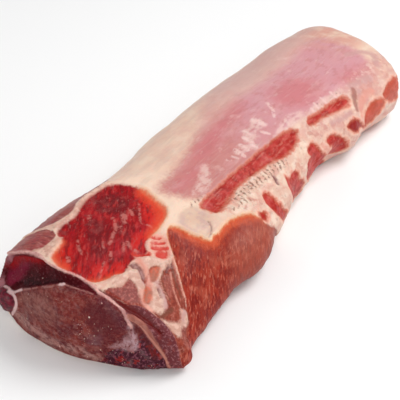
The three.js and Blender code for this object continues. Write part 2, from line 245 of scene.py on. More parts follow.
def depthInside(spots, patches, scale=(1, 1)):
    # How far each spot lies inside the nearest patch: positive in it, negative outside.
    deepest = np.full(len(spots), -1000)
    for patch in patches:
        closed = isinstance(patch, list)
        width, points = (0, patch) if closed else patch
        line = rounded(points, closed) * np.array(scale)
        least = np.full(len(spots), 1e6)
        inside = np.zeros(len(spots), bool)
        ends = zip(line, np.roll(line, -1, axis=0)) if closed else zip(line[:-1], line[1:])
        for start, end in ends:
            run = end - start
            off = spots - start
            t = np.clip(off @ run / max(run @ run, 1e-9), 0, 1)
            least = np.minimum(least, np.hypot(*(off - t[:, None] * run).T))
            if abs(run[1]) > 1e-9:
                crossing = (start[1] > spots[:, 1]) != (end[1] > spots[:, 1])
                inside ^= crossing & (off[:, 0] < off[:, 1] / run[1] * run[0])
        deepest = np.maximum(deepest, np.where(inside, least, -least) if closed else width / 2 - least)
    return deepest


def smooth(value, low, high):
    t = np.clip((value - low) / (high - low), 0, 1)
    return t * t * (3 - 2 * t)


def hump(value, width):
    return np.exp(-(value / width) ** 2)


def lumps(spots, size, seed=0):
    # Smooth noise from -1 to 1, with lumps of about that size, which may differ along each axis.
    scaled = spots / np.array(size, float) + np.array([seed, seed * 0.37, -seed])
    return np.array([noise.noise(Vector(spot)) for spot in scaled])


def newObject(name, build):
    # A mesh object of what the bmesh holds.
    mesh = bpy.data.meshes.new(name)
    build.to_mesh(mesh)
    build.free()
    piece = bpy.data.objects.new(name, mesh)
    scene.collection.objects.link(piece)
    return piece


# The loin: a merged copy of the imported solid, rounded, with the finer relief of its tissues in millimetres.
loinPiece = {
    "levels": 2,
    "leanSink": 1.1, "edgeRidge": 0.9, "flankSink": 0.9, "redSink": 1.1, "fatRise": 0.8, "pitDepth": 2,
    "hollow": 5.5, "lipRise": 1.2, "seam": 0.9, "lobeRise": 1.6, "grooveDepth": 3.4, "stripRise": 0.9,
    # broad swells and hollows: [along, round], how far they reach each way, and their height
    "swells": [
        ([300, -24], [50, 36], -4.5), ([341, -26], [20, 34], -4.5), ([408, -22], [34, 36], -4.6),
        ([470, 24], [14, 20], 2.6), ([486, 65], [14, 60], 1.3), ([440, 150], [36, 26], 2.6),
        ([346, -18], [20, 18], -3.2), ([424, -8], [26, 18], -2), ([235, 155], [78, 26], 2.2),
        ([168, 153], [26, 24], 2.2), ([141, 143], [20, 20], 1.8), ([50, 149], [14, 14], -1.6),
        ([15, -21], [12, 16], 3), ([34, -10], [10, 16], 3), ([70, -8], [22, 18], 2.8),
        ([164, -4], [20, 18], 4.8), ([186, -2], [13, 15], 1.4), ([130, -8], [16, 16], -2.4),
    ],
}


def denseCopy(node, levels):
    build = bmesh.new()
    build.from_mesh(node.data)
    bmesh.ops.remove_doubles(build, verts=build.verts, dist=2e-5)
    bmesh.ops.join_triangles(build, faces=build.faces, angle_face_threshold=1.4, angle_shape_threshold=1.4)
    bmesh.ops.recalc_face_normals(build, faces=build.faces)
    piece = newObject("porkLoin", build)
    cage = piece.data
    rounding = piece.modifiers.new("rounding", "SUBSURF")
    rounding.levels = rounding.render_levels = levels
    piece.data = bpy.data.meshes.new_from_object(piece.evaluated_get(bpy.context.evaluated_depsgraph_get()))
    piece.modifiers.clear()
    bpy.data.meshes.remove(cage)
    piece.data.name = "porkLoin"
    return piece


def readPlaces(mesh):
    count = len(mesh.vertices)
    spots, normals = np.empty(count * 3), np.empty(count * 3)
    mesh.vertices.foreach_get("co", spots)
    mesh.vertex_normals.foreach_get("vector", normals)
    spots, normals = spots.reshape(-1, 3) / mm, normals.reshape(-1, 3)
    along = spots[:, 1] - place["cutEnd"]
    degrees = np.degrees(np.arctan2(spots[:, 2] - place["axisUp"], spots[:, 0] - place["axisAcross"]))
    degrees = np.where(degrees < -90, degrees + 360, degrees)
    fromCut = np.column_stack([spots[:, 0], along, spots[:, 2]])
    return {
        "spots": spots, "normals": normals, "along": along, "degrees": degrees,
        "side": np.column_stack([along, degrees * place["perDegree"]]),
        "cutPlane": np.column_stack([fromCut @ rightward, fromCut @ upward]),
        "farPlane": spots[:, [0, 2]],
    }


def tissueDepths(at):
    # How deep inside each tissue's outline every point lies, in millimetres.
    aspect = (1, place["perDegree"])
    depths = {name: depthInside(at["side"], patches, aspect) for name, patches in sidePatches.items()}
    depths.update({name: depthInside(at["cutPlane"], patches) for name, patches in cutPatches.items()})
    depths.update({name: depthInside(at["farPlane"], patches) for name, patches in farPatches.items()})
    facing = (at["normals"] @ towards - ends["cutTurn"]) * ends["cutEase"]
    nearCut = np.minimum(facing, ends["cutReach"] - at["along"])
    for name in cutPatches:
        depths[name] = np.minimum(depths[name], nearCut)
    depths["farEnd"] = (at["normals"][:, 1] - ends["farTurn"]) * ends["farEase"]
    depths["farEye"] = np.minimum(depths["farEye"], depths["farEnd"])
    outsideEnds = -np.maximum(depths["cut"], depths["flap"])
    for name in sidePatches:
        depths[name] = np.minimum(depths[name], outsideEnds + ends["lap"])
    return depths


def sideRelief(at, depth, settings, fine, grainy, onSides):
    # Bare muscles lie lower than the cover, which ends in a ridge round them.
    spots, degrees, along = at["spots"], at["degrees"], at["along"]
    rump = smooth(depth["rump"], -1, 1.2)
    flank = smooth(depth["flank"], -0.9, 1.1)
    red = smooth(depth["red"], -0.8, 1)
    purple = smooth(depth["purple"], -1, 1)
    height = (lumps(spots, 46, 3.1) + lumps(spots, 17, 8.4) * 0.45) * 0.8 * onSides
    height += -settings["leanSink"] * rump + settings["edgeRidge"] * hump(depth["rump"] + 2.4, 2)
    height += rump * (fine * 0.45 + lumps(spots, (2.6, 9, 5), 2.2) * 0.5 + grainy * 0.15)
    height += settings["edgeRidge"] * smooth(degrees, 12, 24) * hump(depth["flank"] + 2, 1.8)
    fibres = lumps(spots, (26, 2.4, 26), 4) * 0.34 + lumps(spots, (34, 5.5, 34), 7) * 0.4
    height += flank * (fibres - settings["flankSink"])
    height += red * (fine * 0.4 - settings["redSink"])
    height += 0.7 * smooth(depth["red"], 1, 4.5) + 0.4 * hump(depth["red"] + 1.8, 1.6)
    height += settings["fatRise"] * smooth(depth["fat"], -0.8, 0.9)
    height += 0.5 * smooth(depth["whiteLine"], -0.6, 0.5) - 0.6 * smooth(depth["brown"], -0.8, 0.8)
    height -= settings["pitDepth"] * smooth(depth["pit"], -1.2, 1)
    height += purple * (lumps(spots, (9, 3, 4), 6) * 0.4 - 0.5)
    ribSide = smooth(degrees, 50, 32) * smooth(degrees, -70, -40) * smooth(along, 140, 170)
    ribLumps = lumps(spots, (9, 8, 6), 9) * 1.1 + lumps(spots, (4, 3.5, 3), 12) * 0.4
    height += ribSide * (1 - flank) * (1 - red * 0.6) * ribLumps
    backLumps = lumps(spots, (20, 26, 11), 14) * 0.9 + lumps(spots, (5, 12, 4), 15) * 0.3
    height += smooth(degrees, 140, 165) * onSides * backLumps
    height += (1 - rump) * (1 - flank) * (1 - red) * onSides * lumps(spots, (6, 15, 6), 16) * 0.18
    return height


def cutRelief(at, depth, settings, fine, grainy):
    # The upper muscle is hollow, the seams are creases, and the rough corner low on the right is pitted.
    spots = at["spots"]
    upper = smooth(depth["upper"], 0, 4.5)
    height = upper * (lumps(spots, (9, 9, 7), 21) * 1.2 - settings["hollow"])
    height += (1 - upper) * (fine * 0.35 + grainy * 0.25 + lumps(spots, 11, 19) * 0.5)
    height -= settings["seam"] * (hump(depth["upper"], 1.4) + hump(depth["lobe"], 1.5))
    height += settings["lobeRise"] * smooth(depth["lobe"], 0.5, 5)
    height += smooth(depth["lower"], -0.8, 1) * (grainy * 0.8 + fine * 0.9 - 0.6)
    return height + 1.4 * smooth(depth["knuckle"], -0.6, 2.2)


def relief(at, depth, settings):
    # How far out every point moves, in millimetres.
    spots, degrees, along = at["spots"], at["degrees"], at["along"]
    fine, grainy = lumps(spots, 5.2, 1.7), lumps(spots, 2.6, 5.5)
    onCut, onFlap = smooth(depth["cut"], -0.8, 0.8), smooth(depth["flap"], -0.8, 0.8)
    onSides = (1 - onCut) * (1 - onFlap)
    height = sideRelief(at, depth, settings, fine, grainy, onSides) * onSides
    height += cutRelief(at, depth, settings, fine, grainy) * onCut
    strip, groove = smooth(depth["strip"], -1, 1), smooth(depth["groove"], -1.4, 1.6)
    flapHeight = settings["stripRise"] * strip - settings["grooveDepth"] * groove + grainy * 0.5 + fine * 0.4
    height += flapHeight * onFlap
    lip = hump(depth["cut"] + 0.9, 1.2) * smooth(depth["flap"], -0.5, -3) * smooth(spots[:, 2], 40, 56)
    height += settings["lipRise"] * lip + 0.8 * hump(depth["flap"] - 1, 1.6) * (1 - onCut)
    for spot, reach, lift in settings["swells"]:
        height += lift * np.exp(-((along - spot[0]) / reach[0]) ** 2 - ((degrees - spot[1]) / reach[1]) ** 2)
    farEnd = smooth(depth["farEnd"], -1, 1)
    height += farEnd * (fine * 0.35 + grainy * 0.2 - 0.7 * hump(depth["farEye"], 1.6))
    return height * smooth(spots[:, 2], 0.5, 7)  # the underside stays flat on the floor


def storeDepths(mesh, values):
    for name, value in values.items():
        layer = mesh.attributes.new(name, "FLOAT", "POINT")
        layer.data.foreach_set("value", np.ascontiguousarray(value, dtype=np.float32))


def makeLoin(settings):
    piece = denseCopy(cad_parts["pork_loin"], settings["levels"])
    mesh = piece.data
    at = readPlaces(mesh)
    depth = tissueDepths(at)
    moved = at["spots"] + at["normals"] * relief(at, depth, settings)[:, None]
    moved = np.clip(moved, np.array(cadBox[0]) / mm, np.array(cadBox[1]) / mm)
    mesh.vertices.foreach_set("co", (moved * mm).ravel())
    mesh.update()
    mesh.shade_smooth()
    storeDepths(mesh, depth)
    storeDepths(mesh, {"along": at["along"], "degrees": np.minimum(at["degrees"], 200)})
    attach(piece, "root")
    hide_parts("pork_loin")
    print("loin:", len(mesh.polygons), "faces")
    return piece, at, depth


tones = {
    # the palest cream is a painted highlight on the silver skin
    "cream": (0.8, 0.52, 0.41), "beige": (0.86, 0.62, 0.48), "highlightCream": (0.96, 0.72, 0.56),
    "rosy": (0.6, 0.24, 0.22), "lavender": (0.67, 0.315, 0.345), "deepRosy": (0.63, 0.19, 0.205),
    "salmon": (0.69, 0.33, 0.27), "white": (0.88, 0.64, 0.57), "fatCap": (0.84, 0.64, 0.5),
    "rump": (0.32, 0.003, 0.005), "rumpDeep": (0.19, 0.006, 0.01), "rumpBright": (0.66, 0.016, 0.012),
    "orange": (0.8, 0.08, 0.034), "fleck": (0.62, 0.2, 0.17), "flank": (0.37, 0.034, 0.016),
    "flankLight": (0.58, 0.15, 0.095), "flankDark": (0.21, 0.011, 0.007), "flankOrange": (0.72, 0.105, 0.036),
    "red": (0.44, 0.018, 0.012), "redDeep": (0.27, 0.012, 0.009), "redEdge": (0.56, 0.13, 0.065),
    "brown": (0.34, 0.06, 0.035), "purple": (0.33, 0.038, 0.045), "purpleLight": (0.55, 0.22, 0.2),
    "pit": (0.2, 0.065, 0.06), "island": (0.68, 0.125, 0.055), "lilac": (0.62, 0.34, 0.32),
    "blush": (0.84, 0.36, 0.28), "cutGrey": (0.27, 0.088, 0.072), "cutRed": (0.24, 0.03, 0.022),
    # the upper muscle's tones: its dark red holds painted shade of its hollow, its bright red is a painted
    # highlight, and its darkest tone is painted shadow
    "cutMaroon": (0.125, 0.009, 0.014), "upper": (0.085, 0.0005, 0.004), "upperRedHighlight": (0.34, 0.003, 0.007),
    "upperWine": (0.2, 0.005, 0.027), "hollowShadow": (0.035, 0.001, 0.003), "lobe": (0.2, 0.012, 0.03),
    "lower": (0.065, 0.006, 0.016), "knuckle": (0.6, 0.38, 0.41), "seam": (0.92, 0.62, 0.61),
    "seamFaint": (0.4, 0.17, 0.15), "lip": (0.86, 0.49, 0.44), "strip": (0.38, 0.12, 0.09),
    "stripEdge": (0.6, 0.24, 0.18), "groove": (0.14, 0.003, 0.003), "flap": (0.17, 0.028, 0.034),
    "frost": (0.62, 0.46, 0.45),
}


class Dye:
    # A socket of a material's nodes that can be worked with as a value.
    def __init__(self, tree, socket=None):
        self.tree = tree
        self.socket = socket

    def node(self, kind, settings=None, sockets=None, out=0):
        made = self.tree.nodes.new(kind)
        for name, value in (settings or {}).items():
            setattr(made, name, value)
        for key, value in (sockets or {}).items():
            if isinstance(value, Dye):
                self.tree.links.new(value.socket, made.inputs[key])
            else:
                made.inputs[key].default_value = value
        return Dye(self.tree, made.outputs[out]) if made.outputs else None

    def maths(self, operation, first, second=0):
        return self.node("ShaderNodeMath", {"operation": operation}, {0: first, 1: second})

    def __add__(self, other):
        return self.maths("ADD", self, other)

    def __sub__(self, other):
        return self.maths("SUBTRACT", self, other)

    def __rsub__(self, other):
        return self.maths("SUBTRACT", other, self)

    def __mul__(self, other):
        return self.maths("MULTIPLY", self, other)

    __radd__ = __add__
    __rmul__ = __mul__

    def larger(self, other):
        return self.maths("MAXIMUM", self, other)

    def size(self):
        return self.maths("ABSOLUTE", self)

    def wave(self, length):
        return self.maths("SINE", self * (6.2832 / length))

    def rise(self, low, high):
        # 0 below low and 1 above high; high may be the smaller.
        sockets = {"Value": self, "From Min": low, "From Max": high}
        return self.node("ShaderNodeMapRange", {"interpolation_type": "SMOOTHSTEP"}, sockets)

    def over(self, under, colour):
        # This mask's share of the colour laid over what is under it. A colour may be the name of a tone.
        sockets = {0: self}
        for key, value in ((6, under), (7, colour)):
            value = tones[value] if isinstance(value, str) else value
            sockets[key] = value if isinstance(value, Dye) else (*value, 1)
        return self.node("ShaderNodeMix", {"data_type": "RGBA"}, sockets, out=2)


class Paint:
    # A colour that others are laid over in turn, each where its mask says.
    def __init__(self, colour=None):
        self.colour = colour

    def lay(self, mask, colour):
        self.colour = mask.over(self.colour, colour)


def newMaterial(name):
    material = bpy.data.materials.new(name)
    material.use_nodes = True
    material.node_tree.nodes.clear()
    return material, Dye(material.node_tree)


def finishMaterial(dye, sockets):
    shader = dye.node("ShaderNodeBsdfPrincipled", None, sockets)
    dye.node("ShaderNodeOutputMaterial", None, {"Surface": shader})


# The meat is one paint, and each tissue lays its colours over what is there: the skin and fat, the muscles on
# the sides, and the two ends. Masks that later layers or the surface need stay on the paint.
meatMaterial, dye = newMaterial("frozenMeat")
metres = dye.node("ShaderNodeTexCoord", out=3)
slanted = dye.node("ShaderNodeMapping", None, {"Vector": metres, "Rotation": (0, 0, -turn)})
found = {}


def cloud(size, seed, detail=3, source=metres, bend=0):
    # Soft noise with spots of the given size in millimetres, which may differ along each axis.
    sizes = size if isinstance(size, tuple) else (size,) * 3
    sockets = {"Location": (seed, seed * 0.7, -seed), "Scale": tuple(1 / mm / each for each in sizes)}
    placed = dye.node("ShaderNodeMapping", None, {"Vector": source, **sockets})
    sockets = {"Vector": placed, "Scale": 1, "Detail": detail, "Roughness": 0.55, "Distortion": bend}
    return dye.node("ShaderNodeTexNoise", None, sockets)


def depth(name):
    # How far inside the named outline, in millimetres.
    if name not in found:
        found[name] = dye.node("ShaderNodeAttribute", {"attribute_name": name}, out=2)
    return found[name]


# edges of the tissues wander a little, so that no outline is drawn with a ruler
wander = (cloud(5, 1.3) - 0.5) * 3.4 + (cloud(1.5, 4.1, 2) - 0.5) * 1.6
fineWander = (cloud(2.2, 7.7, 2) - 0.5) * 1.6
degrees, along = depth("degrees"), depth("along")


def edge(name, low, high, amount=1, by=wander):
    # 0 at the outline's low depth and 1 at its high one, with an edge that wanders by so much.
    return (depth(name) + by * amount).rise(low, high)


def fineEdge(name, low, high, amount=1):
    return edge(name, low, high, amount, fineWander)


def paintSkin(meat):
    # silver skin and fat: cream and beige by the rump, with a painted highlight there, rosy and lavender over
    # the eye muscle
    meat.colour = cloud((14, 34, 14), 3).rise(0.3, 0.75).over("cream", "beige")
    blotches = cloud((11, 16, 9), 11, 4)
    meat.lay(blotches.rise(0.5, 0.66) * 0.38, (0.74, 0.43, 0.36))
    meat.lay(blotches.rise(0.48, 0.36) * 0.38, (0.88, 0.7, 0.56))
    # painted highlight: the silver skin behind the rump made paler
    silverSkinHighlight = along.rise(196, 140) * along.rise(92, 112) * degrees.rise(50, 62) * degrees.rise(140, 122)
    meat.lay(silverSkinHighlight * 0.75, "highlightCream")
    lengthwise = cloud((7, 46, 7), 10, 4)
    meat.lay(lengthwise.rise(0.48, 0.66) * degrees.rise(96, 116) * 0.4, (0.66, 0.46, 0.38))
    shift = (cloud((14, 40, 12), 6, 4) - 0.5) * 150
    pinks = Paint((along + shift).rise(200, 330).over("rosy", "lavender"))
    pinks.lay(edge("deepRosy", -14, 14, 3) * 0.8, "deepRosy")
    pinks.lay(cloud((12, 30, 10), 8, 4).rise(0.5, 0.68) * 0.4, (0.72, 0.38, 0.38))
    pinks.lay(cloud((5, 12, 5), 12).rise(0.5, 0.64) * 0.35, (0.52, 0.17, 0.17))
    leftEdge = degrees.rise(128, 108)
    meat.lay(edge("rosy", -8, 8, 3.5) * (leftEdge * 0.5 + 0.48), pinks.colour)
    farTop = along.rise(420, 476) * degrees.rise(60, 84)
    meat.lay(farTop * cloud((20, 16, 12), 7).rise(0.35, 0.6) * 0.8, "salmon")
    farBack = along.rise(250, 360) * degrees.rise(118, 136) * degrees.rise(176, 150)
    meat.lay(farBack * 0.6, (0.64, 0.4, 0.36))


def paintRibSide(meat):
    meat.ribSide = degrees.rise(52, 40) * degrees.rise(-60, -30) * along.rise(150, 180)
    meat.mottle = cloud((7, 8, 6), 13, 4)
    meat.lay(meat.ribSide * meat.mottle.rise(0.5, 0.6) * 0.6, (0.74, 0.38, 0.31))
    meat.lay(meat.ribSide * meat.mottle.rise(0.47, 0.38) * 0.6, (0.92, 0.72, 0.6))
    stains = meat.ribSide * cloud((9, 11, 8), 14).rise(0.56, 0.64)
    meat.lay(stains * 0.55, (0.6, 0.22, 0.17))
    greys = meat.ribSide * cloud((4, 5, 4), 18).rise(0.6, 0.68)
    meat.lay(greys * 0.45, (0.46, 0.3, 0.24))


def paintPaleSkin(meat):
    # threads and patches of white skin, the window by the rump, the corner by the flank and the far ribs
    meat.skinThreads = cloud((2.4, 30, 2.4), 9).rise(0.52, 0.72)
    meat.lay(meat.skinThreads * 0.13, "white")
    meat.lay(cloud((8, 13, 8), 15, 4).rise(0.6, 0.7) * 0.22, "white")
    meat.lay(edge("paleSkin", -3, 3, 2) * cloud((4, 9, 4), 16).rise(0.3, 0.6) * 0.6, "white")
    window = edge("window", -3, 3, 1.5) * 0.8
    meat.lay(window, cloud((9, 14, 9), 17).rise(0.4, 0.62).over((0.76, 0.52, 0.39), (0.64, 0.42, 0.37)))
    corner = along.rise(108, 94) * degrees.rise(72, 60) * 0.7
    meat.lay(corner, cloud((5, 6, 6), 19).rise(0.42, 0.6).over((0.74, 0.38, 0.3), (0.84, 0.58, 0.46)))
    farRib = meat.ribSide * along.rise(290, 340)
    meat.lay(farRib * cloud((8, 9, 8), 23).rise(0.34, 0.54) * 0.5, (0.68, 0.34, 0.31))
    meat.lay(edge("lilac", -2.5, 2.5, 1.5) * 0.75, "lilac")
    meat.lay(edge("blush", -3, 3, 1.5) * 0.7, "blush")


def paintMarks(meat):
    # the rims of the bare strips, the teeth and crumbs beside them, and the cap of fat behind
    meat.strips = degrees.rise(28, 32) * along.rise(120, 160)
    meat.lay(edge("red", -5, -1.5, 2) * (0.6 - meat.strips * 0.5), (0.92, 0.6, 0.46))
    meat.lay(edge("red", -3, -0.4, 1.8) * cloud(9, 20).rise(0.32, 0.48) * 0.8, (0.82, 0.33, 0.25))
    ragged = cloud(5, 21)
    meat.teeth = edge("teeth", -1.4, 1.4, 1.1) * ragged.rise(0.34, 0.5)
    meat.lay(meat.teeth * 0.72, (0.9, 0.62, 0.58))
    rows = (along - degrees * 0.5 + wander * 1.6).wave(5.5)
    crumbs = rows.rise(-0.3, 0.9) * cloud((2.4, 2.4, 4), 22).rise(0.4, 0.54)
    meat.marks = edge("marks", -1.5, 2.5, 1.6) * crumbs
    meat.lay(meat.marks * 0.95, (0.36, 0.18, 0.13))
    fatCap = degrees.rise(146, 172)
    meat.lay(fatCap * cloud((18, 30, 14), 27).rise(0.3, 0.6), "fatCap")
    meat.lay(fatCap * cloud((16, 26, 10), 31, 4).rise(0.57, 0.7) * 0.6, (0.55, 0.22, 0.17))


def paintRump(meat):
    meat.rump = edge("rump", -0.5, 0.5, 0.9)
    rump = Paint(cloud((6, 22, 9), 33, 3, slanted).rise(0.34, 0.66).over("rump", (0.4, 0.007, 0.013)))
    rump.lay(edge("rumpDark", -5, 5, 2) * 0.85, "rumpDeep")
    rump.lay(edge("rumpBright", -5, 5, 2) * 0.85, "rumpBright")
    grain = cloud((2.7, 12, 8), 34, 3, slanted)
    rump.lay(grain.rise(0.51, 0.62) * 0.65, (0.15, 0.004, 0.007))
    rump.lay(grain.rise(0.46, 0.35) * 0.55, (0.58, 0.04, 0.036))
    dusky = cloud((9, 12, 9), 35).rise(0.54, 0.66)
    rump.lay(dusky * degrees.rise(80, 92) * 0.75, (0.27, 0.036, 0.036))
    meat.streaks = cloud((1.8, 8, 4.5), 37, 3, slanted).rise(0.58, 0.68) * cloud(17, 39, 1).rise(0.4, 0.56)
    broken = cloud((3, 4, 3), 38, 2).rise(0.34, 0.5)
    flecks = (edge("fleck", -1.3, 0.9, 0.9) * broken).larger(meat.streaks * 0.45)
    rump.lay(flecks * 0.7, "fleck")
    glow = edge("rumpGlow", -6, 5, 1.6)
    rump.lay(glow * 0.85, "orange")
    rump.lay(edge("rump", 5, -1, 1.2) * glow * 0.8, (0.86, 0.28, 0.14))
    rump.lay(edge("rump", 1.8, -0.6) * (0.6 - glow * 0.4), (0.7, 0.24, 0.19))
    meat.lay(edge("rump", -5, 1, 1.4) * glow * 0.8, (0.9, 0.46, 0.27))
    meat.lay(edge("rump", -1.2, 1.2, 0.9), rump.colour)


def paintFlank(meat):
    meat.flank = edge("flank", -0.5, 0.5)
    fibres = cloud((1.9, 11, 9), 41, 3, slanted, 0.5)
    flank = Paint(fibres.rise(0.41, 0.57).over("flankDark", "flank"))
    flank.lay(cloud((16, 20, 18), 45, 3, slanted).rise(0.48, 0.62) * 0.6, (0.27, 0.026, 0.016))
    flank.lay(cloud((13, 16, 15), 44, 3, slanted).rise(0.52, 0.66) * 0.4, (0.5, 0.105, 0.06))
    bands = cloud((5, 26, 2.2), 42, 2, slanted, 0.6).rise(0.52, 0.62)
    flank.lay(bands * degrees.rise(0, 12) * along.rise(112, 130) * 0.4, (0.56, 0.16, 0.1))
    flank.lay(cloud((1.5, 7, 6), 43, 2, slanted, 0.4).rise(0.54, 0.66) * 0.75, "flankLight")
    innerEdge = (depth("flank") - 10 + wander * 1.5).size().rise(7, 1)
    innerEdge = innerEdge * degrees.rise(12, 24) * along.rise(100, 116)
    farFlank = (along - degrees * 0.6 + wander * 4).rise(104, 150)
    flank.lay(farFlank * 0.5, (0.44, 0.125, 0.085))
    flank.lay(innerEdge * 0.7, (0.27, 0.014, 0.009))
    flank.lay(edge("flank", 12, 0, 3) * degrees.rise(10, 24) * along.rise(104, 112) * 0.9, "flankOrange")
    flank.lay(edge("flank", 2.6, -0.6, 1.2) * degrees.rise(10, 24) * 0.8, (0.84, 0.36, 0.18))
    # painted shade: the flank is darker towards the underside, except at the front end
    flank.lay(degrees.rise(8, -20) * along.rise(50, 80) * 0.5, (0.2, 0.016, 0.014))
    outerGlow = edge("flank", -4, 0.5, 1.6) * degrees.rise(14, 26) * along.rise(104, 112)
    meat.lay(outerGlow * 0.6, (0.92, 0.58, 0.34))
    meat.lay(edge("flank", -1.2, 1), flank.colour)


def paintPurple(meat):
    # the purplish left edge behind the rump
    outline = edge("purple", -0.5, 0.5, 1.2)
    purple = Paint(cloud((7, 12, 6), 46).rise(0.38, 0.62).over("purple", (0.33, 0.065, 0.055)))
    purple.lay(cloud((7, 2.4, 3), 47).rise(0.52, 0.66) * 0.42, "purpleLight")
    purple.lay(cloud((8, 2, 2.6), 53).rise(0.52, 0.62) * 0.7, (0.17, 0.012, 0.02))
    meat.lay(outline * 0.95, purple.colour)


def paintRed(meat):
    # the bare muscle between the ribs' places and the strips along the eye muscle
    meat.red = edge("red", -0.5, 0.5, 0.8)
    red = Paint(cloud((9, 9, 7), 49).rise(0.4, 0.62).over("red", (0.57, 0.06, 0.05)))
    red.lay(cloud((7, 9, 6), 54).rise(0.52, 0.64) * 0.6, "redDeep")
    red.lay(cloud((3, 5, 4), 50).rise(0.54, 0.68) * 0.5, (0.62, 0.15, 0.11))
    nugget = along.rise(364, 368) * along.rise(398, 394) * degrees.rise(27, 22)
    red.lay(nugget * 0.85, (0.27, 0.008, 0.008))
    red.lay(cloud((3, 16, 3), 48).rise(0.52, 0.66) * degrees.rise(28, 32) * 0.45, (0.66, 0.2, 0.15))
    red.lay(edge("red", 3.4, -0.4, 1.4) * along.rise(100, 120) * 0.75, "redEdge")
    # painted shade: the bare muscle is darker towards the underside, over the nearer part of the loin
    red.lay(degrees.rise(4, -14) * along.rise(310, 290) * 0.6, (0.22, 0.02, 0.018))
    red.lay(along.rise(398, 404) * 0.4, (0.66, 0.19, 0.11))
    red.lay(along.rise(112, 100) * 0.7, (0.74, 0.06, 0.04))
    soft = edge("red", -3.4, 2.4, 1.6) * meat.strips
    crisp = edge("red", -1.4, 1.4, 1.5) * (1 - meat.strips)
    meat.lay(soft.larger(crisp), red.colour)


def paintBrown(meat):
    # the dark, gritty muscle in the corner between the rump, the flank and the cut
    outline = edge("brown", -0.8, 0.8, 0.9)
    brown = Paint(cloud((3, 7, 8), 51, 3, slanted).rise(0.4, 0.64).over("brown", (0.25, 0.036, 0.022)))
    brown.lay(cloud((2.2, 9, 9), 52, 2, slanted).rise(0.52, 0.68) * 0.5, (0.5, 0.15, 0.11))
    leftPart = along.rise(46, 34) * degrees.rise(28, 38)
    brown.lay(leftPart * 0.85, (0.24, 0.026, 0.02))
    brown.lay(leftPart * cloud(3.2, 56).rise(0.52, 0.62) * 0.6, (0.5, 0.12, 0.09))
    grit = cloud(2.2, 65)
    brown.lay(grit.rise(0.54, 0.64) * 0.35, (0.58, 0.22, 0.17))
    brown.lay(grit.rise(0.46, 0.36) * 0.5, (0.19, 0.034, 0.022))
    brown.lay(edge("darkLine", -1.2, 0.8, 0.7) * 0.75, (0.19, 0.055, 0.032))
    meat.lay(outline, brown.colour)


def paintFat(meat):
    # the fat in that corner, and the small spots that lie over everything on the sides
    meat.fat = edge("fat", -1.5, 1.3, 1.2) * (1 - meat.red * along.rise(60, 64))
    fat = Paint(cloud((4, 6, 6), 53, 4).rise(0.38, 0.58).over((0.82, 0.54, 0.43), (0.66, 0.37, 0.29)))
    fat.lay(cloud(3, 58).rise(0.58, 0.68) * 0.4, (0.48, 0.27, 0.2))
    fat.lay(edge("lilac", -2, 2, 1.2) * 0.8, "lilac")
    meat.lay(meat.fat * 0.96, fat.colour)
    meat.lay(edge("blush", -2.2, 2.2, 1.2) * along.rise(106, 100) * (0.8 - meat.red * 0.75), "blush")
    island = Paint(cloud(4, 59).rise(0.4, 0.6).over("island", (0.44, 0.13, 0.075)))
    island.lay(along.rise(300, 340) * 0.75, (0.36, 0.17, 0.15))
    meat.lay(edge("island", -1.6, 1.6) * 0.85, island.colour)
    whiteLine = fineEdge("whiteLine", -0.9, 0.7, 0.8) * cloud((3, 8, 8), 60).rise(0.3, 0.46)
    meat.lay(whiteLine * 0.75, (0.76, 0.33, 0.25))
    pit = edge("pit", -0.9, 1.2, 0.5) * 0.85
    meat.lay(pit, cloud(4, 62).rise(0.42, 0.58).over("pit", (0.36, 0.16, 0.15)))


def paintFarEnd(meat):
    # a cut through the eye muscle with a ring of fat
    farEnd, farEye = edge("farEnd", -0.6, 0.8), edge("farEye", -0.5, 0.6)
    lean = cloud(9, 55, 4).rise(0.35, 0.65).over("cutGrey", "cutRed")
    ring = cloud(8, 57).rise(0.4, 0.6).over("cream", (0.62, 0.3, 0.24))
    meat.lay(farEnd, farEye.over(ring, lean))


def paintEye(meat):
    # the eye muscle on the cut end, with its net of threads, its curds and its speckle
    eye = Paint(cloud((12, 12, 9), 61, 4).rise(0.36, 0.64).over("cutMaroon", "cutRed"))
    eye.lay(edge("greyPatch", -6, 7, 3) * 0.9, "cutGrey")
    eye.lay(edge("redPatch", -5, 5, 2) * 0.8, (0.25, 0.028, 0.02))
    eye.lay(edge("maroonPatch", -4, 5, 2) * 0.85, "cutMaroon")
    eye.lay(edge("purpleRim", -3, 3, 1.5) * 0.75, (0.1, 0.012, 0.024))
    eye.lay(edge("lilacSpot", -3, 3, 2) * 0.6, (0.19, 0.055, 0.068))
    eye.lay(edge("bottomRim", -2.5, 3.5, 2.2) * cloud(6, 64).rise(0.34, 0.54) * 0.8, (0.56, 0.28, 0.24))
    net = (cloud((6.5, 6.5, 5), 62, 2) - 0.5).size().rise(0.035, 0) * cloud(13, 60, 1).rise(0.4, 0.58)
    threads = cloud((2.2, 2.2, 7), 63).rise(0.57, 0.68)
    meat.calm = 1 - edge("maroonPatch", -7, 5, 2) * 0.65
    eye.lay((net * 0.3 + threads * 0.24) * meat.calm, (0.42, 0.19, 0.17))
    speckle = cloud(2.4, 60)
    eye.lay(speckle.rise(0.52, 0.66) * 0.34 * meat.calm, (0.4, 0.135, 0.125))
    eye.lay(speckle.rise(0.47, 0.34) * 0.4, (0.07, 0.005, 0.009))
    curds = cloud((4.5, 4.5, 3.5), 80)
    eye.lay(curds.rise(0.48, 0.38) * 0.55, (0.12, 0.012, 0.016))
    eye.lay(curds.rise(0.54, 0.64) * 0.3 * meat.calm, (0.36, 0.15, 0.12))
    return eye


